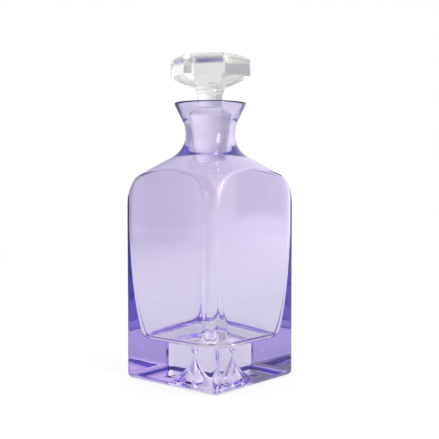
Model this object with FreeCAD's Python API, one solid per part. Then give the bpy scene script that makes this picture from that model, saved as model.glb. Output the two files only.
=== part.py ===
"""A square spirit decanter: a bottle with a thick solid base, and the faceted stopper ground to fit its neck.

Millimetres, +Z up. The origin is the centre of the underside, and the four flat walls face X and Y.
"""
import FreeCAD, Part
import math
import os

from FreeCAD import Vector

# ---- Bottle, outside ----
BODY_WIDTH = 90.0          # width across two opposite walls
EDGE_ROUND = 4.2           # radius of the upright edges between the walls
FOOT_ROUND = 4.0           # radius between the walls and the underside
BELT_R = 63.2              # radius of the turned form that cuts the walls' corners
BELT_Z = 134.9             # where that upright form would meet the lean of the upper wall
BELT_ROUND = 53.0
CROWN_IN = 7.2             # the lean runs this far in
CROWN_RISE = 15.4          # and this far up, to where it would meet the sloping shoulder
CROWN_ROUND = 14.0
NECK_R = 18.5              # radius of the neck at its waist
SHOULDER_RISE = 20.2       # height of the slope, up to where it would meet the neck
NECK_BASE_ROUND = 19.2
NECK_RISE = 17.2           # from there to where the flare of the lip would start
FLARE_RISE = 17.3          # from there to the top of the lip
FLARE_ROUND = 24.0
LIP_R = 27.2               # outside radius of the lip
LIP_ROUND = 1.0

# ---- Bottle, inside ----
WALL = 2.2                 # thickness of the walls under the shoulder
SHOULDER_WALL = 1.6        # thickness of the shoulder
TAPER_TOP_Z = 112.0        # the walls thicken from here down to the floor
FLOOR_Z = 30.0             # thickness of the solid base
FLOOR_INSET = 8.0          # from the outside of a wall to the cavity at the floor
TAPER_POWER = 1.4          # how much more of the taper lies near the floor; 1 would be straight
FLOOR_ROUND = 5.0          # radius between the floor and the cavity's walls
CAVITY_EDGE_TOP = 3.0      # radius of the cavity's upright edges under the shoulder
CAVITY_EDGE_FLOOR = 16.0   # and at the floor
EDGE_POWER = 4             # how much of that widening lies near the floor
TAPER_STEPS = 6
SEAT_TOP_R = 15.1          # inside radius of the neck at the top of the stopper's seat
SEAT_TAPER = 0.12          # radius lost for each millimetre down the seat
SEAT_DEPTH = 15.0          # from the lip down to the top of the seat
MOUTH_R = 25.6             # inside radius at the lip
MOUTH_ROUND = 15.0         # between the seat and the flare of the mouth
NECK_IN_ROUND = 18.0       # between the seat and the inside of the shoulder

# ---- Bubble in the base ----
BUBBLE_X = 5.0             # the bubble stands a little off the middle of the base
BUBBLE_Y = -5.0
BUBBLE_Z = 25.0            # height of the bubble's centre
BUBBLE_R = 3.6
STEM_R = 0.6               # radius of the thin drawn stem under the bubble
FUNNEL_TOP_Z = 20.2        # where the stem opens into the funnel
FUNNEL_REACH = 9.5         # the funnel's height falls to 37% over this distance outwards
FUNNEL_RIM_R = 31.0        # where the funnel meets the flat foot
FUNNEL_STEPS = 14

# ---- Stopper ----
SEAT_CLEARANCE = 0.05      # between the ground plug and its seat
PLUG_BELOW = 29.5          # length of the plug under the top of the seat
PLUG_ABOVE = 6.0           # and above it
PLUG_EDGE = 0.8            # rounding of the plug's ends
SHANK_R = 9.4              # the stopper narrows to this above the plug
SHANK_SLOPE = 4.0          # height over which it narrows
COLLAR_R = 10.4
COLLAR_ABOVE = 6.6         # from the lip up to the collar
COLLAR_SLOPE = 0.8
COLLAR_HEIGHT = 3.2
ROOT_RISE = 2.2            # from the collar up to the head's sloped underside
ROOT_R = 14.5
HEAD_SIDES = 6
HEAD_R = 30.5              # head, from its axis to a corner
HEAD_TURN = -30.0          # direction of one corner, in degrees from +X
HEAD_UNDERSIDE = 7.2       # height of the sloped underside
BAND_HEIGHT = 12.2         # height of the upright band of facets
ARRIS = 0.5                # how deep the ground corners of the band are
BEVEL_HEIGHT = 3.0         # height of the bevels above the band
TABLE_R = 26.5             # flat top of the head, from its axis to a corner

OVERLAP = 1.0              # how far a tool runs past the glass it cuts or joins
NEAR = 0.001               # two heights this close count as the same

# ---- Heights that follow ----
CROWN_R = BELT_R - CROWN_IN
CROWN_Z = BELT_Z + CROWN_RISE
NECK_BASE_Z = CROWN_Z + SHOULDER_RISE
FLARE_Z = NECK_BASE_Z + NECK_RISE
LIP_Z = FLARE_Z + FLARE_RISE
SEAT_TOP_Z = LIP_Z - SEAT_DEPTH
COLLAR_Z = LIP_Z + COLLAR_ABOVE
ROOT_Z = COLLAR_Z + COLLAR_HEIGHT + ROOT_RISE
BAND_Z = ROOT_Z + HEAD_UNDERSIDE
BEVEL_Z = BAND_Z + BAND_HEIGHT
TABLE_Z = BEVEL_Z + BEVEL_HEIGHT


def corner_reach(before, corner, after, radius):
    """How far from a corner its rounding starts."""
    return radius / math.tan((before - corner).getAngle(after - corner) / 2)


def corner_arc(before, corner, after, radius):
    """Rounds one corner of an outline: the two tangent points and the arc between them."""
    into = (before - corner).normalize()
    out = (after - corner).normalize()
    half = into.getAngle(out) / 2
    reach = radius / math.tan(half)
    start = corner + into * reach
    end = corner + out * reach
    centre = corner + (into + out).normalize() * (radius / math.sin(half))
    middle = centre + (corner - centre).normalize() * radius
    return start, end, Part.Arc(start, middle, end).toShape()


def outline(corners):
    """A closed wire in the XZ plane through (radius from the axis, height, rounding) corners.

    Two roundings that would run into each other are made smaller until they meet.
    """
    points = [Vector(r, 0, z) for r, z, _ in corners]
    count = len(points)
    reach = []
    for i, (_, _, rounding) in enumerate(corners):
        following = points[(i + 1) % count]
        reach.append(corner_reach(points[i - 1], points[i], following, rounding) if rounding > 0 else 0)
    room = [points[i].distanceToPoint(points[(i + 1) % count]) for i in range(count)]
    fit = [min(1, room[i] / max(reach[i] + reach[(i + 1) % count], room[i])) for i in range(count)]
    edges = []
    first = last = None
    for i, (_, _, rounding) in enumerate(corners):
        start = end = points[i]
        arc = None
        if rounding > 0:
            radius = rounding * min(fit[i - 1], fit[i])
            start, end, arc = corner_arc(points[i - 1], points[i], points[(i + 1) % count], radius)
        if last is not None and last.distanceToPoint(start) > NEAR:
            edges.append(Part.makeLine(last, start))
        if arc is not None:
            edges.append(arc)
        first = start if first is None else first
        last = end
    edges.append(Part.makeLine(last, first))
    return Part.Wire(edges)


def turned(corners):
    """A solid of revolution about Z."""
    return Part.Face(outline(corners)).revolve(Vector(0, 0, 0), Vector(0, 0, 1), 360)


def square_wire(half, rounding, z):
    """A square with rounded corners, at one height."""
    straight = half - rounding
    edges = []
    for quarter in range(4):
        turn = math.radians(90 * quarter)
        ax, ay = math.cos(turn), math.sin(turn)

        def place(x, y):
            return Vector(x * ax - y * ay, x * ay + y * ax, z)

        diagonal = straight + rounding * math.sqrt(0.5)
        edges.append(Part.makeLine(place(half, -straight), place(half, straight)))
        edges.append(Part.Arc(place(half, straight), place(diagonal, diagonal), place(straight, half)).toShape())
    return Part.Wire(edges)


def bottle_form():
    """The outside: a square block with round upright edges, cut by the turned shoulder and neck."""
    block = Part.Face(square_wire(BODY_WIDTH / 2, EDGE_ROUND, 0)).extrude(Vector(0, 0, LIP_Z + OVERLAP))
    foot = [e for e in block.Edges if e.BoundBox.ZMax < NEAR]
    block = block.makeFillet(FOOT_ROUND, foot)
    form = turned([
        (0, 0, 0),
        (BELT_R, 0, 0),
        (BELT_R, BELT_Z, BELT_ROUND),
        (CROWN_R, CROWN_Z, CROWN_ROUND),
        (NECK_R, NECK_BASE_Z, NECK_BASE_ROUND),
        (NECK_R, FLARE_Z, FLARE_ROUND),
        (LIP_R, LIP_Z, LIP_ROUND),
        (0, LIP_Z, 0),
    ])
    return block.common(form)


def inset(before, corner, after, distance):
    """The corner of the line that runs at a distance inside an outline, on the side of its axis."""
    into = (before - corner).normalize()
    out = (after - corner).normalize()
    half = into.getAngle(out) / 2
    return corner + (into + out).normalize() * (distance / math.sin(half))


def seat_radius(z):
    return SEAT_TOP_R - SEAT_TAPER * (SEAT_TOP_Z - z)


def hollow():
    """The inside: square walls that thicken downwards, a rounded floor, the shoulder, the seat and the mouth."""
    half_top = BODY_WIDTH / 2 - WALL
    half_floor = BODY_WIDTH / 2 - FLOOR_INSET
    sections = []
    for i in range(TAPER_STEPS + 1):
        share = i / TAPER_STEPS
        half = half_top - (half_top - half_floor) * (1 - share) ** TAPER_POWER
        edge = CAVITY_EDGE_TOP + (CAVITY_EDGE_FLOOR - CAVITY_EDGE_TOP) * (1 - share) ** EDGE_POWER
        sections.append(square_wire(half, edge, FLOOR_Z + (TAPER_TOP_Z - FLOOR_Z) * share))
    lower = Part.makeLoft(sections, True, False)
    lower = lower.makeFillet(FLOOR_ROUND, [e for e in lower.Edges if e.BoundBox.ZMax < FLOOR_Z + NEAR])
    top = square_wire(half_top, CAVITY_EDGE_TOP, TAPER_TOP_Z)
    upper = Part.Face(top).extrude(Vector(0, 0, LIP_Z + OVERLAP - TAPER_TOP_Z))
    foot, belt = Vector(BELT_R, 0, 0), Vector(BELT_R, 0, BELT_Z)
    crown, neck = Vector(CROWN_R, 0, CROWN_Z), Vector(NECK_R, 0, NECK_BASE_Z)
    belt_in = inset(foot, belt, crown, SHOULDER_WALL)
    crown_in = inset(belt, crown, neck, SHOULDER_WALL)
    slope = (neck.z - crown.z) / (crown.x - neck.x)
    neck_z = (crown_in.z + slope * (crown_in.x - seat_radius(0))) / (1 + slope * SEAT_TAPER)
    form = turned([
        (0, FLOOR_Z, 0),
        (belt_in.x, FLOOR_Z, 0),
        (belt_in.x, belt_in.z, BELT_ROUND - SHOULDER_WALL),
        (crown_in.x, crown_in.z, CROWN_ROUND - SHOULDER_WALL),
        (seat_radius(neck_z), neck_z, NECK_IN_ROUND),
        (SEAT_TOP_R, SEAT_TOP_Z, MOUTH_ROUND),
        (MOUTH_R, LIP_Z, 0),
        (MOUTH_R, LIP_Z + OVERLAP, 0),
        (0, LIP_Z + OVERLAP, 0),
    ])
    return lower.fuse(upper).common(form)


def funnel_height(r):
    """The drawn glass falls away steeply at first, then more and more gently, to nothing at the rim."""
    at_rim = math.exp(-(FUNNEL_RIM_R - STEM_R) / FUNNEL_REACH)
    return FUNNEL_TOP_Z * (math.exp(-(r - STEM_R) / FUNNEL_REACH) - at_rim) / (1 - at_rim)


def base_bubble():
    """The air drawn up into the base: a funnel in the underside, a thin stem and a round bubble."""
    reach = FUNNEL_RIM_R + OVERLAP
    points = []
    for i in range(FUNNEL_STEPS + 1):
        r = STEM_R + (reach - STEM_R) * (i / FUNNEL_STEPS) ** 1.5
        points.append(Vector(r, 0, funnel_height(r)))
    curve = Part.BSplineCurve()
    curve.interpolate(points)
    top, rim = points[0], points[-1]
    centre = Vector(0, 0, BUBBLE_Z)
    wire = Part.Wire([
        curve.toShape(),
        Part.makeLine(rim, Vector(0, 0, rim.z)),
        Part.makeLine(Vector(0, 0, rim.z), centre),
        Part.makeLine(centre, Vector(STEM_R, 0, BUBBLE_Z)),
        Part.makeLine(Vector(STEM_R, 0, BUBBLE_Z), top),
    ])
    funnel = Part.Face(wire).revolve(Vector(0, 0, 0), Vector(0, 0, 1), 360)
    drawn = funnel.fuse(Part.makeSphere(BUBBLE_R, centre))
    drawn.translate(Vector(BUBBLE_X, BUBBLE_Y, 0))
    return drawn


def decanter_body():
    return bottle_form().cut(hollow()).cut(base_bubble())


def polygon(radius, z, turn=HEAD_TURN):
    corners = []
    for i in range(HEAD_SIDES + 1):
        angle = math.radians(turn + 360 / HEAD_SIDES * i)
        corners.append(Vector(radius * math.cos(angle), radius * math.sin(angle), z))
    return Part.makePolygon(corners)


def stopper_head():
    """A flat cut head: sloped underside, upright band, sloped crown and flat table, with ground corners."""
    underside = Part.makeLoft([polygon(ROOT_R, ROOT_Z), polygon(HEAD_R, BAND_Z)], True, True)
    band = Part.makeLoft([polygon(HEAD_R, BAND_Z), polygon(HEAD_R, BEVEL_Z)], True, True)
    crown = Part.makeLoft([polygon(HEAD_R, BEVEL_Z), polygon(TABLE_R, TABLE_Z)], True, True)
    across = (HEAD_R - ARRIS) / math.cos(math.pi / HEAD_SIDES)
    trim = Part.Face(polygon(across, 0, HEAD_TURN + 180 / HEAD_SIDES)).extrude(Vector(0, 0, TABLE_Z + OVERLAP))
    return band.fuse([crown, underside]).removeSplitter().common(trim)


def stopper():
    bottom_z, top_z = SEAT_TOP_Z - PLUG_BELOW, SEAT_TOP_Z + PLUG_ABOVE
    root = ROOT_R * math.cos(math.pi / HEAD_SIDES)
    stem = turned([
        (0, bottom_z, 0),
        (seat_radius(bottom_z) - SEAT_CLEARANCE, bottom_z, PLUG_EDGE),
        (seat_radius(top_z) - SEAT_CLEARANCE, top_z, PLUG_EDGE),
        (SHANK_R, top_z + SHANK_SLOPE, 0),
        (SHANK_R, COLLAR_Z, 0),
        (COLLAR_R, COLLAR_Z + COLLAR_SLOPE, 0),
        (COLLAR_R, COLLAR_Z + COLLAR_HEIGHT, 0),
        (root, ROOT_Z, 0),
        (root, ROOT_Z + OVERLAP, 0),
        (0, ROOT_Z + OVERLAP, 0),
    ])
    return stopper_head().fuse(stem).removeSplitter()


def main():
    os.makedirs("parts", exist_ok=True)
    for name, shape in (("decanter_body", decanter_body()), ("stopper", stopper())):
        shape.exportStep(f"parts/{name}.step")
        print(name, "valid", shape.isValid(), "solids", len(shape.Solids), "volume ml", round(shape.Volume / 1000, 1))


main()
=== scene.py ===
"""A square lavender glass decanter with a clear faceted stopper, on a plain pale floor."""
import math

import bmesh
import bpy
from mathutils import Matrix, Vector


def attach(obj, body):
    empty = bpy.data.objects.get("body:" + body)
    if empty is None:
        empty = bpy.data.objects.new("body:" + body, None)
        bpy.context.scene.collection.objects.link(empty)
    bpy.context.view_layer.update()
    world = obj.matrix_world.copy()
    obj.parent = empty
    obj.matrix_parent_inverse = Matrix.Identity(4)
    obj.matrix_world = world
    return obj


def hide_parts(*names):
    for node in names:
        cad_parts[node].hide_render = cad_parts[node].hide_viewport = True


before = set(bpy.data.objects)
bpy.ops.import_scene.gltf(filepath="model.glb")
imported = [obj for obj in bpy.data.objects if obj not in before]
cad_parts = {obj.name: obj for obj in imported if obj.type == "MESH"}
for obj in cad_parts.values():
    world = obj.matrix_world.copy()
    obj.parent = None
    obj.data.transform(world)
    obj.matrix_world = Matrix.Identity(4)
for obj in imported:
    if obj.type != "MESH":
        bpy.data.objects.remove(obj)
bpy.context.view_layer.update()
MM = 0.001

# ---- Bottle, millimetres; turned corners are (radius, height, rounding) ----
BODY_WIDTH = 90.0          # across two opposite walls
EDGE_ROUND = 4.2           # radius of the upright edges
FOOT_ROUND = 4.0           # between the walls and the underside
BELT = (63.2, 134.9, 53.0)
CROWN = (56.0, 150.3, 14.0)
NECK_BASE = (18.5, 170.5, 19.2)
FLARE = (18.5, 187.7, 24.0)
LIP = (27.2, 205.0, 1.0)
LIP_IN_ROUND = 0.5
MOUTH_R = 25.6             # inside radius at the lip
RIM_R = MOUTH_R + 1.0      # where the outlines of the outside and the inside meet on the lip
OUTER_CREASE = 1.2         # softness of the line between shoulder and walls, outside
INNER_CREASE = 1.2         # and inside
WALL = 2.2
SHOULDER_WALL = 1.6
TAPER_TOP_Z = 112.0        # the walls thicken from here down to the floor
FLOOR_Z = 30.0
FLOOR_INSET = 8.0          # from the outside of a wall to the cavity at the floor
FLOOR_ROUND = 5.0
CAVITY_EDGE_TOP = 3.0      # radius of the cavity's upright edges under the shoulder
CAVITY_EDGE_FLOOR = 16.0   # and at the floor
EDGE_POWER = 4.0           # the higher, the nearer the floor that widening stays
TAPER_POWER = 1.4          # over 1, the walls thicken faster near the floor
SEAT_TOP = (15.1, 190.0, 15.0)
SEAT_TAPER = 0.12          # radius lost for each millimetre down the seat
NECK_IN_ROUND = 18.0
ROUND_UNDER_R = BODY_WIDTH / 4  # a smaller ring lies inside all four walls, so it stays round
SEAT_GROUND_FROM_Z = 178.0  # the seat is ground from here up to its top

# ---- Bubble in the base ----
BUBBLE_X = 5.0
BUBBLE_Y = -5.0
BUBBLE_Z = 25.0
BUBBLE_R = 3.6
STEM_R = 0.6
FUNNEL_TOP_Z = 20.2
FUNNEL_REACH = 9.5         # the funnel's height falls to about a third over this distance outwards
FUNNEL_RIM_R = 31.0

# ---- Stopper ----
SEAT_CLEARANCE = 0.05
PLUG_BOTTOM_Z = 160.5
PLUG_TOP_Z = 196.0
PLUG_EDGE = 0.8
PLUG_HUB_R = 0.2           # the smallest ring, round the middle of the plug's end
PLUG_GROUND_TO_Z = 196.0   # the plug is ground from its end up to here
SHANK_Z = 200.0
SHANK_R = 9.4
SHANK_ROUND = 2.0
COLLAR_R = 10.4
COLLAR_Z = 211.6
COLLAR_TOP_Z = 214.8
COLLAR_SLOPE = 0.8
COLLAR_ROUND = 0.4
COLLAR_TOP_ROUND = 0.3
ROOT_Z = 217.0
ROOT_R = 14.5
ROOT_IN = 0.4              # the turned part ends this far inside the flats of the head's root
ROOT_DOWN = 0.1            # and this far under it
HEAD_SIDES = 6
HEAD_R = 30.5
HEAD_TURN = -30.0          # direction of one corner, in degrees from +X
BAND_Z = 224.2
BEVEL_Z = 236.4
TABLE_Z = 239.4
TABLE_R = 26.5
SHARP_ANGLE = 14.0         # faces that meet at more than this keep a sharp edge

# ---- Spacing of the meshes ----
ANGLES = 288               # points round the bottle
STOPPER_ANGLES = 240       # and round the stopper
OUTLINE_STEP = 0.8         # about the length between points on straight stretches
ARC_STEP = 4.0             # at most this many degrees between points on round ones
BUBBLE_STEPS = 20
FUNNEL_STEPS = 60
FUNNEL_CROWDING = 1.3      # over 1, the funnel's rings crowd towards the stem
FOOT_STEPS = 6
ROUND_STEPS = 12           # over the foot's rounding and the floor's
FLOOR_STEPS = 10
OUTER_PLAIN_Z = 120.0      # the outside is straight under this height
OUTER_GAP = 6.0            # so its rings lie at least this far apart
INNER_PLAIN_Z = 115.0      # the cavity is straight or tapers gently under this height
INNER_GAP = 2.4

# ---- Glass ----
GLASS_IOR = 1.52
SEAT_ROUGHNESS = 0.2
STOPPER_ROUGHNESS = 0.15
STOPPER_TINT = (0.955, 0.96, 0.955)
COAT_PASS = (0.865, 0.83, 0.962)   # what one square pass through the lavender layer lets through
LEAST_FACING = 0.12        # cosine under which a slanting ray's way through the layer stops growing
LIGHT_BOUNCES = 32

# ---- Surroundings, seen only through or mirrored in the glass ----
# Each is placed by the share of a unit direction that points up, to the right or away from the camera.
BACKDROP_FROM = -0.2       # share away from the camera where the backdrop starts
BACKDROP_TO = 0.6          # and where it is full
BACKDROP_SPREAD = 0.5      # its colours run from left to right within this share of each side
BACKDROP_LEFT = (0.48, 0.47, 0.53)
BACKDROP_RIGHT = (1.22, 1.20, 1.18)
ROOM_SPREAD = 0.7
ROOM_LEFT = (0.55, 0.55, 0.52)
ROOM_LEFT_HIGH = (0.40, 0.42, 0.28)
ROOM_RIGHT = (1.05, 0.98, 0.92)
ROOM_RIGHT_HIGH = (1.4, 1.3, 1.05)
ROOM_HIGH_FROM = 0.05      # the room's upper colours take over between these heights
ROOM_HIGH_TO = 0.2
CEILING_FROM = 0.35
CEILING_TO = 0.8
CEILING = (0.9, 0.9, 0.9)
HORIZON_LEFT = (1.00, 0.97, 1.02)
HORIZON_RIGHT = (1.45, 1.40, 1.36)
EDGE_ALONG = (0.7206, -0.6934, 0)      # direction along which the table's far edge is measured
EDGE_REACH = 0.055         # how far from its middle the bend goes on
EDGE_LEFT = (0.0, -0.0716, 13.0)       # (middle, height, bend) of the edge on the left
EDGE_RIGHT = (-0.108, -0.0367, -8.0)   # and on the right
EDGE_SWAP = 0.1            # half the width over which one becomes the other
EDGE_SOFT = 0.008          # half the height over which the edge is soft
DARK_HALF = 0.02           # half width of the dark things beyond the edge
DARK_EDGE = 0.036          # and with their soft edge
DARK_SHARE = 0.75
DARK_SIDE_FROM = 0.5       # they stand only this far to a side
DARK_SIDE_TO = 0.8
WINDOW_TURN = 41.0         # to the right of the camera, in degrees
WINDOW_HALF = 0.14
WINDOW_CORE = 0.6          # share of the half width that is fully bright
WINDOW_FRONT_FROM = 0.2    # keeps the strip to the window's own side of the room
WINDOW_FRONT_TO = 0.3
WINDOW_LOW = 0.0
WINDOW_HIGH = 0.70
WINDOW_SOFT = 0.05
WINDOW_LEVEL = 8.0
GLARE_LEVEL = 1.6          # the window's strip of light on the table, a painted highlight

# ---- Floor ----
FLOOR_HALF = 0.9           # metres
FLOOR_DROP = 0.0002        # keeps it clear of the foot
FLOOR_SHADE = 0.3          # how much of the light it throws back
FLOOR_LIGHT = 1.12         # how much light falls on it
FLOOR_GLOW = 0.72          # lifts it to white for the camera
TABLE_NEAR = 0.25          # metres from the bottle where the table starts to take the horizon's colours
TABLE_FAR = 0.9            # and where it has them fully
TABLE_BACK = (0.92, 0.94, 0.90)
TABLE_FRONT = (0.92, 0.90, 0.90)

# ---- Camera, metres and degrees ----
CAMERA_AZIMUTH = 41.1
CAMERA_DISTANCE = 0.628
EYE_HEIGHT = 0.145
CAMERA_PITCH = 2.43
CAMERA_YAW = 0.63
CAMERA_SENSOR = 36.0       # millimetres
CAMERA_LENS = 68.64        # millimetres
CAMERA_CLIP = 0.01


# ---------------------------------------------------------------- outlines
def rounded(corners):
    """Points along an open outline of (radius, height, rounding) corners."""
    points = [Vector((r, z)) for r, z, _ in corners]
    path = [points[0]]

    def line_to(end):
        start = path[-1].copy()
        count = max(1, round((end - start).length / OUTLINE_STEP))
        for i in range(1, count + 1):
            path.append(start.lerp(end, i / count))

    for i in range(1, len(points)):
        rounding = corners[i][2] if i < len(points) - 1 else 0
        if not rounding:
            line_to(points[i])
            continue
        into = (points[i - 1] - points[i]).normalized()
        out = (points[i + 1] - points[i]).normalized()
        half = into.angle(out) / 2
        reach = rounding / math.tan(half)
        start = points[i] + into * reach
        end = points[i] + out * reach
        centre = points[i] + (into + out).normalized() * (rounding / math.sin(half))
        line_to(start)
        spoke = start - centre
        sweep = spoke.angle_signed(end - centre)
        count = max(2, math.ceil(abs(sweep) / math.radians(ARC_STEP)))
        for k in range(1, count + 1):
            a = -sweep * k / count
            path.append(centre + Vector((
                spoke.x * math.cos(a) - spoke.y * math.sin(a),
                spoke.x * math.sin(a) + spoke.y * math.cos(a),
            )))
    return [(p.x, p.y) for p in path]


def square_reach(angle, half, rounding):
    """Distance from the axis to a square with round corners, in one direction."""
    fold = abs((angle + math.pi / 4) % (math.pi / 2) - math.pi / 4)
    straight = half - rounding
    if half * math.tan(fold) <= straight:
        return half / math.cos(fold)
    along = straight * (math.cos(fold) + math.sin(fold))
    across = straight * (math.cos(fold) - math.sin(fold))
    return along + math.sqrt(max(rounding ** 2 - across ** 2, 0))


def soft_min(a, b, soft):
    """The smaller of two lengths, eased where they come within the softness of each other."""
    near = max(soft - abs(a - b), 0) / soft
    return min(a, b) - near * near * soft / 4


def inset(before, corner, after, distance):
    """An outline's corner moved inwards until both its sides lie the distance further in."""
    into = (before - corner).normalized()
    out = (after - corner).normalized()
    half = into.angle(out) / 2
    return corner + (into + out).normalized() * (distance / math.sin(half))


# ---------------------------------------------------------------- meshes
def directions(count=ANGLES):
    """Evenly spaced angles round the axis."""
    return [2 * math.pi * i / count for i in range(count)]


def tube(name, rings, slots):
    """A closed skin over rings of points, in millimetres; slots gives each band's material number."""
    verts, faces, numbers = [], [], []
    count = len(rings[0])
    for ring in rings:
        verts.extend((x * MM, y * MM, z * MM) for x, y, z in ring)
    for i in range(len(rings) - 1):
        for j in range(count):
            k = (j + 1) % count
            faces.append((i * count + j, i * count + k, (i + 1) * count + k, (i + 1) * count + j))
            numbers.append(slots[i])
    for ring_index, flip in ((0, True), (len(rings) - 1, False)):
        ring = rings[ring_index]
        middle = tuple(sum(p[a] for p in ring) / count * MM for a in range(3))
        verts.append(middle)
        hub = len(verts) - 1
        for j in range(count):
            k = (j + 1) % count
            a, b = ring_index * count + j, ring_index * count + k
            faces.append((b, a, hub) if flip else (a, b, hub))
            numbers.append(slots[min(ring_index, len(slots) - 1)])
    mesh = bpy.data.meshes.new(name)
    mesh.from_pydata(verts, [], faces)
    mesh.polygons.foreach_set("material_index", numbers)
    mesh.polygons.foreach_set("use_smooth", [True] * len(faces))
    mesh.update()
    bm = bmesh.new()
    bm.from_mesh(mesh)
    bmesh.ops.recalc_face_normals(bm, faces=bm.faces)
    if bm.calc_volume(signed=True) < 0:
        bmesh.ops.reverse_faces(bm, faces=bm.faces)
    bm.to_mesh(mesh)
    bm.free()
    obj = bpy.data.objects.new(name, mesh)
    bpy.context.scene.collection.objects.link(obj)
    return obj


def round_ring(radius, z, x=0.0, y=0.0, count=ANGLES):
    """A circle of points at one height."""
    return [(x + radius * math.cos(a), y + radius * math.sin(a), z) for a in directions(count)]


def square_ring(half, rounding, z, turned_r=None, soft=OUTER_CREASE):
    """A square of points with round corners, cut by a turned form where its radius is given."""
    ring = []
    for a in directions():
        reach = square_reach(a, half, rounding)
        if turned_r is not None:
            reach = soft_min(reach, turned_r, soft)
        ring.append((reach * math.cos(a), reach * math.sin(a), z))
    return ring


# ---------------------------------------------------------------- bottle
def under_z(r):
    """Height of the underside at a distance from the bubble's axis."""
    at_rim = math.exp(-(FUNNEL_RIM_R - STEM_R) / FUNNEL_REACH)
    return max(FUNNEL_TOP_Z * (math.exp(-(r - STEM_R) / FUNNEL_REACH) - at_rim) / (1 - at_rim), 0.0)


def underside_rings():
    """From the top of the bubble, down its stem and funnel, and over the flat foot to the edge."""
    rings = []
    low = math.asin(STEM_R / BUBBLE_R)
    for i in range(1, BUBBLE_STEPS + 1):
        a = (math.pi - low) * i / BUBBLE_STEPS
        z = BUBBLE_Z + BUBBLE_R * math.cos(a)
        rings.append(round_ring(BUBBLE_R * math.sin(a), z, BUBBLE_X, BUBBLE_Y))
    for i in range(FUNNEL_STEPS + 1):
        r = STEM_R + (FUNNEL_RIM_R - STEM_R) * (i / FUNNEL_STEPS) ** FUNNEL_CROWDING
        rings.append(round_ring(r, under_z(r), BUBBLE_X, BUBBLE_Y))
    half = BODY_WIDTH / 2 - FOOT_ROUND
    for i in range(1, FOOT_STEPS + 1):
        ring = []
        for a in directions():
            reach = square_reach(a, half, EDGE_ROUND - FOOT_ROUND)
            x0, y0 = BUBBLE_X + FUNNEL_RIM_R * math.cos(a), BUBBLE_Y + FUNNEL_RIM_R * math.sin(a)
            x1, y1 = reach * math.cos(a), reach * math.sin(a)
            ring.append((x0 + (x1 - x0) * i / FOOT_STEPS, y0 + (y1 - y0) * i / FOOT_STEPS, 0.0))
        rings.append(ring)
    return rings


def outer_rings():
    """Round the foot's edge, up the walls and over the shoulder and neck to the top of the lip."""
    rings = []
    for i in range(1, ROUND_STEPS + 1):
        a = math.pi / 2 * i / ROUND_STEPS
        half = BODY_WIDTH / 2 - FOOT_ROUND * (1 - math.sin(a))
        rounding = EDGE_ROUND - FOOT_ROUND * (1 - math.sin(a))
        rings.append(square_ring(half, rounding, FOOT_ROUND * (1 - math.cos(a))))
    path = rounded([(BELT[0], FOOT_ROUND, 0), BELT, CROWN, NECK_BASE, FLARE, LIP, (RIM_R, LIP[1], 0)])
    last_z = FOOT_ROUND
    for r, z in path[1:]:
        if z < OUTER_PLAIN_Z and z - last_z < OUTER_GAP:
            continue
        last_z = z
        if z < NECK_BASE[1] and r > ROUND_UNDER_R:
            rings.append(square_ring(BODY_WIDTH / 2, EDGE_ROUND, z, r))
        else:
            rings.append(round_ring(r, z))
    return rings


def cavity_at(z):
    """The cavity's half width and the radius of its upright edges, at one height."""
    share = min(max((z - FLOOR_Z) / (TAPER_TOP_Z - FLOOR_Z), 0), 1)
    top, floor = BODY_WIDTH / 2 - WALL, BODY_WIDTH / 2 - FLOOR_INSET
    edge = CAVITY_EDGE_TOP + (CAVITY_EDGE_FLOOR - CAVITY_EDGE_TOP) * (1 - share) ** EDGE_POWER
    return top - (top - floor) * (1 - share) ** TAPER_POWER, edge


def seat_radius(z):
    """Radius of the stopper's seat at one height."""
    return SEAT_TOP[0] - SEAT_TAPER * (SEAT_TOP[1] - z)


def inner_rings():
    """From the lip down through the seat and the shoulder, and down the cavity to the middle of its floor."""
    rings = []
    belt, crown, neck = (Vector(corner[:2]) for corner in (BELT, CROWN, NECK_BASE))
    belt_in = inset(Vector((BELT[0], 0)), belt, crown, SHOULDER_WALL)
    crown_in = inset(belt, crown, neck, SHOULDER_WALL)
    slope = (neck.y - crown.y) / (crown.x - neck.x)
    neck_z = (crown_in.y + slope * (crown_in.x - seat_radius(0))) / (1 + slope * SEAT_TAPER)
    path = rounded([
        (RIM_R, LIP[1], 0),
        (MOUTH_R, LIP[1], LIP_IN_ROUND),
        SEAT_TOP,
        (seat_radius(neck_z), neck_z, NECK_IN_ROUND),
        (crown_in.x, crown_in.y, CROWN[2] - SHOULDER_WALL),
        (belt_in.x, belt_in.y, BELT[2] - SHOULDER_WALL),
        (belt_in.x, FLOOR_Z + FLOOR_ROUND, 0),
    ])
    last_z = LIP[1]
    for r, z in path[1:]:
        if z < INNER_PLAIN_Z and last_z - z < INNER_GAP:
            continue
        last_z = z
        half, edge = cavity_at(z)
        if r > ROUND_UNDER_R:
            rings.append(square_ring(half, edge, z, r, INNER_CREASE))
        else:
            rings.append(round_ring(r, z))
    for i in range(1, ROUND_STEPS + 1):
        a = math.pi / 2 * i / ROUND_STEPS
        z = FLOOR_Z + FLOOR_ROUND * (1 - math.sin(a))
        half, edge = cavity_at(z)
        draw = FLOOR_ROUND * (1 - math.cos(a))
        rings.append(square_ring(half - draw, edge - draw, z))
    floor_edge = rings[-1]
    for i in range(1, FLOOR_STEPS):
        share = 1 - i / FLOOR_STEPS
        rings.append([(x * share, y * share, FLOOR_Z) for x, y, _ in floor_edge])
    return rings


def make_body():
    """The bottle: coated outside, clear underneath and inside, ground in the seat."""
    coated, clear, ground = range(3)
    under, outer, inner = underside_rings(), outer_rings(), inner_rings()
    seat = [ground if SEAT_GROUND_FROM_Z <= ring[0][2] <= SEAT_TOP[1] else clear for ring in inner]
    slots = [clear] * len(under) + [coated] * (len(outer) - 1) + seat
    return tube("decanter_glass", under + outer + inner, slots)


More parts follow.
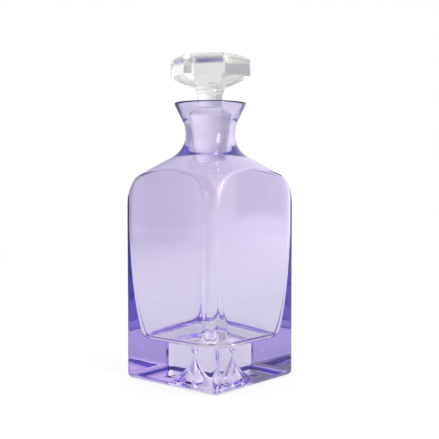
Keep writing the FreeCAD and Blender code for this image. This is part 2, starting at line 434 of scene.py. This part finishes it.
# ---------------------------------------------------------------- stopper
def hexagon_ring(radius, z):
    """A hexagon whose corners are ground off over one step to each side."""
    sector = 2 * math.pi / HEAD_SIDES
    apothem = radius * math.cos(sector / 2)
    step = 2 * math.pi / STOPPER_ANGLES
    ring = []
    for a in directions(STOPPER_ANGLES):
        fold = (a - math.radians(HEAD_TURN)) % sector
        off = min(fold, sector - fold)
        if off < step / 2:
            reach = apothem / math.cos(sector / 2 - step) * math.cos(step)
        else:
            reach = apothem / math.cos(fold - sector / 2)
        ring.append((reach * math.cos(a), reach * math.sin(a), z))
    return ring


def make_stopper():
    """The stopper: a turned plug, shank and collar under a faceted head; the plug is ground."""
    polished, ground = range(2)
    root = ROOT_R * math.cos(math.pi / HEAD_SIDES)
    path = rounded([
        (PLUG_HUB_R, PLUG_BOTTOM_Z, 0),
        (seat_radius(PLUG_BOTTOM_Z) - SEAT_CLEARANCE, PLUG_BOTTOM_Z, PLUG_EDGE),
        (seat_radius(PLUG_TOP_Z) - SEAT_CLEARANCE, PLUG_TOP_Z, PLUG_EDGE),
        (SHANK_R, SHANK_Z, SHANK_ROUND),
        (SHANK_R, COLLAR_Z, COLLAR_ROUND),
        (COLLAR_R, COLLAR_Z + COLLAR_SLOPE, COLLAR_ROUND),
        (COLLAR_R, COLLAR_TOP_Z, COLLAR_TOP_ROUND),
        (root - ROOT_IN, ROOT_Z - ROOT_DOWN, 0),
    ])
    rings = [round_ring(r, z, count=STOPPER_ANGLES) for r, z in path]
    for r, z in ((ROOT_R, ROOT_Z), (HEAD_R, BAND_Z), (HEAD_R, BEVEL_Z), (TABLE_R, TABLE_Z)):
        rings.append(hexagon_ring(r, z))
    slots = [ground if ring[0][2] <= PLUG_GROUND_TO_Z else polished for ring in rings]
    obj = tube("stopper_glass", rings, slots[:-1])
    obj.data.set_sharp_from_angle(angle=math.radians(SHARP_ANGLE))
    return obj


# ---------------------------------------------------------------- materials
def grey(level):
    """A colour of one level."""
    return (level, level, level)


class Tree:
    """Short-hand for filling one node tree."""

    def __init__(self, owner):
        owner.use_nodes = True
        self.nodes, self.links = owner.node_tree.nodes, owner.node_tree.links
        self.nodes.clear()

    def put(self, socket, value):
        """Links a socket to another node's, or sets its value."""
        if isinstance(value, bpy.types.NodeSocket):
            self.links.new(value, socket)
        elif value is not None:
            socket.default_value = value

    def add(self, kind, *values, **settings):
        """A new node with its settings, and values for its first inputs."""
        node = self.nodes.new("ShaderNode" + kind)
        for name, value in settings.items():
            setattr(node, name, value)
        for socket, value in zip(node.inputs, values):
            self.put(socket, value)
        return node

    def math(self, operation, a, b=None):
        """The result of one operation on numbers."""
        return self.add("Math", a, b, operation=operation).outputs[0]

    def mix(self, factor, a, b):
        """a where the factor is 0, b where it is 1; both numbers or both colours."""
        coloured = isinstance(a, tuple) or isinstance(b, tuple) or getattr(a, "type", "") == "RGBA"
        node = self.add("Mix", data_type="RGBA" if coloured else "FLOAT")
        first = 6 if coloured else 2    # where the node's colour inputs start, and its number inputs
        for index, value in ((0, factor), (first, a), (first + 1, b)):
            self.put(node.inputs[index], (*value, 1) if isinstance(value, tuple) else value)
        return node.outputs[2 if coloured else 0]

    def step(self, value, low, high):
        """0 under low, 1 over high, and a soft step between."""
        node = self.add("MapRange", value, low, high, 0.0, 1.0, interpolation_type="SMOOTHSTEP")
        return node.outputs["Result"]

    def finish(self, kind, value):
        """Links the finished shader to a new output node."""
        self.links.new(value, self.nodes.new(kind).inputs["Surface"])


def clear_glass(name, roughness=0.0, tint=grey(1.0)):
    """Glass without a layer; the ground parts are rough."""
    mat = bpy.data.materials.new(name)
    tree = Tree(mat)
    glass = tree.add("BsdfGlass", (*tint, 1), roughness, GLASS_IOR)
    tree.finish("ShaderNodeOutputMaterial", glass.outputs[0])
    return mat


def coated_glass(name):
    """Clear glass under a thin coloured layer: the layer takes more where a ray crosses it at a slant,
    and twice as much where the ray is thrown back into the glass."""
    mat = bpy.data.materials.new(name)
    tree = Tree(mat)
    inside = tree.add("NewGeometry").outputs["Backfacing"]
    # With a blend of 0.5 the node gives 1 less the cosine between the ray and the surface's normal.
    facing = tree.math("SUBTRACT", 1.0, tree.add("LayerWeight", 0.5).outputs["Facing"])
    sine = tree.math("SUBTRACT", 1.0, tree.math("MULTIPLY", facing, facing))
    bent = tree.math("SQRT", tree.math("SUBTRACT", 1.0, tree.math("DIVIDE", sine, GLASS_IOR ** 2)))
    upright = tree.math("MAXIMUM", tree.mix(inside, bent, facing), LEAST_FACING)
    slant = tree.math("DIVIDE", 1.0, upright)

    def tint(passes):
        powers = [tree.math("POWER", share, tree.math("MULTIPLY", slant, passes)) for share in COAT_PASS]
        return tree.add("CombineColor", *powers).outputs[0]

    through = tree.add("BsdfRefraction", tint(1.0), 0.0, GLASS_IOR)
    mirror = tree.add("BsdfAnisotropic", tree.mix(inside, grey(1.0), tint(2.0)), 0.0)
    fresnel = tree.add("Fresnel", GLASS_IOR).outputs[0]
    both = tree.add("MixShader", fresnel, through.outputs[0], mirror.outputs[0])
    tree.finish("ShaderNodeOutputMaterial", both.outputs[0])
    return mat


# ---------------------------------------------------------------- set
def compass(tree, vector):
    """How far a direction points away from the camera, to its right and up, and into the window's strip."""

    def along(*direction):
        return tree.add("VectorMath", vector, direction, operation="DOT_PRODUCT").outputs["Value"]

    azimuth = math.radians(CAMERA_AZIMUTH)
    turn = azimuth - math.radians(90 - WINDOW_TURN)
    back = along(-math.sin(azimuth), math.cos(azimuth), 0)
    side = along(math.cos(azimuth), math.sin(azimuth), 0)
    across = tree.math("ABSOLUTE", along(-math.sin(turn), math.cos(turn), 0))
    strip = tree.math("SUBTRACT", 1.0, tree.step(across, WINDOW_HALF * WINDOW_CORE, WINDOW_HALF))
    ahead = along(math.cos(turn), math.sin(turn), 0)
    strip = tree.math("MULTIPLY", strip, tree.step(ahead, WINDOW_FRONT_FROM, WINDOW_FRONT_TO))
    up = along(0, 0, 1)
    return back, side, up, strip


def round_about(tree, back, side, left, right):
    """The backdrop behind the bottle, and the room's left and right before it."""
    behind = tree.mix(tree.step(side, -BACKDROP_SPREAD, BACKDROP_SPREAD), BACKDROP_LEFT, BACKDROP_RIGHT)
    room = tree.mix(tree.step(side, -ROOM_SPREAD, ROOM_SPREAD), left, right)
    return tree.mix(tree.step(back, BACKDROP_FROM, BACKDROP_TO), room, behind)


def far_edge(tree, side, vector):
    """Height of the table's far edge, which sags on the left and bows up on the right, and how far a
    direction points at the dark things that stand beyond it."""
    along = tree.add("VectorMath", vector, EDGE_ALONG, operation="DOT_PRODUCT").outputs["Value"]
    on_right = tree.step(side, -EDGE_SWAP, EDGE_SWAP)
    middle, height, bend = (tree.mix(on_right, left, right) for left, right in zip(EDGE_LEFT, EDGE_RIGHT))
    off = tree.math("SUBTRACT", along, middle)
    square = tree.math("MINIMUM", tree.math("MULTIPLY", off, off), EDGE_REACH ** 2)
    edge = tree.math("ADD", tree.math("MULTIPLY", square, bend), height)
    dark = tree.math("SUBTRACT", 1.0, tree.step(square, DARK_HALF ** 2, DARK_EDGE ** 2))
    aside = tree.math("ABSOLUTE", side)
    return edge, tree.math("MULTIPLY", dark, tree.step(aside, DARK_SIDE_FROM, DARK_SIDE_TO))


def make_world():
    """White to the camera and to diffuse light; the glass sees a backdrop, a room, a window and a table."""
    world = bpy.data.worlds.new("studio")
    bpy.context.scene.world = world
    tree = Tree(world)
    vector = tree.add("TexCoord").outputs["Generated"]
    back, side, up, strip = compass(tree, vector)
    raised = tree.step(up, ROOM_HIGH_FROM, ROOM_HIGH_TO)
    left = tree.mix(raised, ROOM_LEFT, ROOM_LEFT_HIGH)
    right = tree.mix(raised, ROOM_RIGHT, ROOM_RIGHT_HIGH)
    edge, dark = far_edge(tree, side, vector)
    darkness = tree.math("MULTIPLY", dark, DARK_SHARE)
    wall = tree.mix(darkness, round_about(tree, back, side, left, right), grey(0.0))
    above = tree.mix(tree.step(up, CEILING_FROM, CEILING_TO), wall, CEILING)
    window = tree.math("MULTIPLY", strip, tree.step(up, WINDOW_LOW, WINDOW_LOW + WINDOW_SOFT))
    over_top = tree.step(up, WINDOW_HIGH, WINDOW_HIGH + WINDOW_SOFT)
    window = tree.math("MULTIPLY", window, tree.math("SUBTRACT", 1.0, over_top))
    lit = tree.mix(window, above, grey(WINDOW_LEVEL))
    horizon = round_about(tree, back, side, HORIZON_LEFT, HORIZON_RIGHT)
    table = tree.mix(strip, horizon, grey(GLARE_LEVEL))
    over = tree.math("SUBTRACT", up, edge)
    around = tree.mix(tree.step(over, -EDGE_SOFT, EDGE_SOFT), table, lit)
    paths = tree.add("LightPath")
    plain = tree.math("MAXIMUM", paths.outputs["Is Camera Ray"], paths.outputs["Is Diffuse Ray"])
    sky = tree.add("Background", tree.mix(plain, around, grey(1.0)), 1.0)
    tree.finish("ShaderNodeOutputWorld", sky.outputs[0])


def make_floor():
    """A table, white to the camera; seen through the glass it glows with painted light: the horizon's colours
    with distance, brighter to the right, and the window's painted strip of glare.
    """
    mesh = bpy.data.meshes.new("floor")
    corners = [(x * FLOOR_HALF, y * FLOOR_HALF, 0) for x, y in ((-1, -1), (1, -1), (1, 1), (-1, 1))]
    mesh.from_pydata(corners, [], [(0, 1, 2, 3)])
    floor = bpy.data.objects.new("floor", mesh)
    floor.location.z = -FLOOR_DROP
    bpy.context.scene.collection.objects.link(floor)
    mat = bpy.data.materials.new("floor_paper")
    tree = Tree(mat)
    camera = tree.add("LightPath").outputs["Is Camera Ray"]
    spot = tree.add("TexCoord").outputs["Object"]
    towards = tree.add("VectorMath", spot, operation="NORMALIZE").outputs["Vector"]
    back, side, _, strip = compass(tree, towards)
    near = tree.mix(tree.step(back, BACKDROP_FROM, BACKDROP_TO), TABLE_FRONT, TABLE_BACK)
    distance = tree.add("VectorMath", spot, operation="LENGTH").outputs["Value"]
    horizon = round_about(tree, back, side, HORIZON_LEFT, HORIZON_RIGHT)
    # painted light: with distance the table glows with the horizon's colours, brighter to the right than to
    # the left
    table = tree.mix(tree.step(distance, TABLE_NEAR, TABLE_FAR), near, horizon)
    # painted highlight: the window's strip of glare, painted on the table
    table = tree.mix(strip, table, grey(GLARE_LEVEL))
    lamplight = grey(FLOOR_SHADE * FLOOR_LIGHT)
    # painted light: the floor's glow for rays from the glass, less what its own diffuse light adds
    painted_table_glow = tree.add("VectorMath", table, lamplight, operation="SUBTRACT").outputs["Vector"]
    glow = tree.mix(camera, painted_table_glow, grey(FLOOR_GLOW))
    diffuse = tree.add("BsdfDiffuse", (*grey(FLOOR_SHADE), 1))
    emission = tree.add("Emission", glow, 1.0)
    both = tree.add("AddShader", diffuse.outputs[0], emission.outputs[0])
    tree.finish("ShaderNodeOutputMaterial", both.outputs[0])
    mesh.materials.append(mat)


def make_camera():
    """The camera stands at its azimuth and looks a little down, and a little to the right of the axis."""
    camera = bpy.data.objects.new("camera", bpy.data.cameras.new("camera"))
    bpy.context.scene.collection.objects.link(camera)
    bpy.context.scene.camera = camera
    camera.data.sensor_width = CAMERA_SENSOR
    camera.data.lens = CAMERA_LENS
    camera.data.clip_start = CAMERA_CLIP
    azimuth = math.radians(CAMERA_AZIMUTH)
    camera.location = (CAMERA_DISTANCE * math.sin(azimuth), -CAMERA_DISTANCE * math.cos(azimuth), EYE_HEIGHT)
    turn = math.radians(CAMERA_AZIMUTH - CAMERA_YAW)
    camera.rotation_euler = (math.radians(90 - CAMERA_PITCH), 0, turn)


# ---------------------------------------------------------------- scene
body = make_body()
body.data.materials.append(coated_glass("lavender_outside"))
body.data.materials.append(clear_glass("clear_inside"))
body.data.materials.append(clear_glass("ground_seat", SEAT_ROUGHNESS))
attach(body, "bottle")
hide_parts("decanter_body")

plug = make_stopper()
plug.data.materials.append(clear_glass("stopper_clear", STOPPER_ROUGHNESS, STOPPER_TINT))
plug.data.materials.append(clear_glass("ground_plug", SEAT_ROUGHNESS))
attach(plug, "lift_stopper")
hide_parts("stopper")

make_floor()
make_world()
make_camera()
bpy.context.scene.view_settings.view_transform = "Standard"
for bounces in ("max_bounces", "glossy_bounces", "transmission_bounces"):
    setattr(bpy.context.scene.cycles, bounces, LIGHT_BOUNCES)
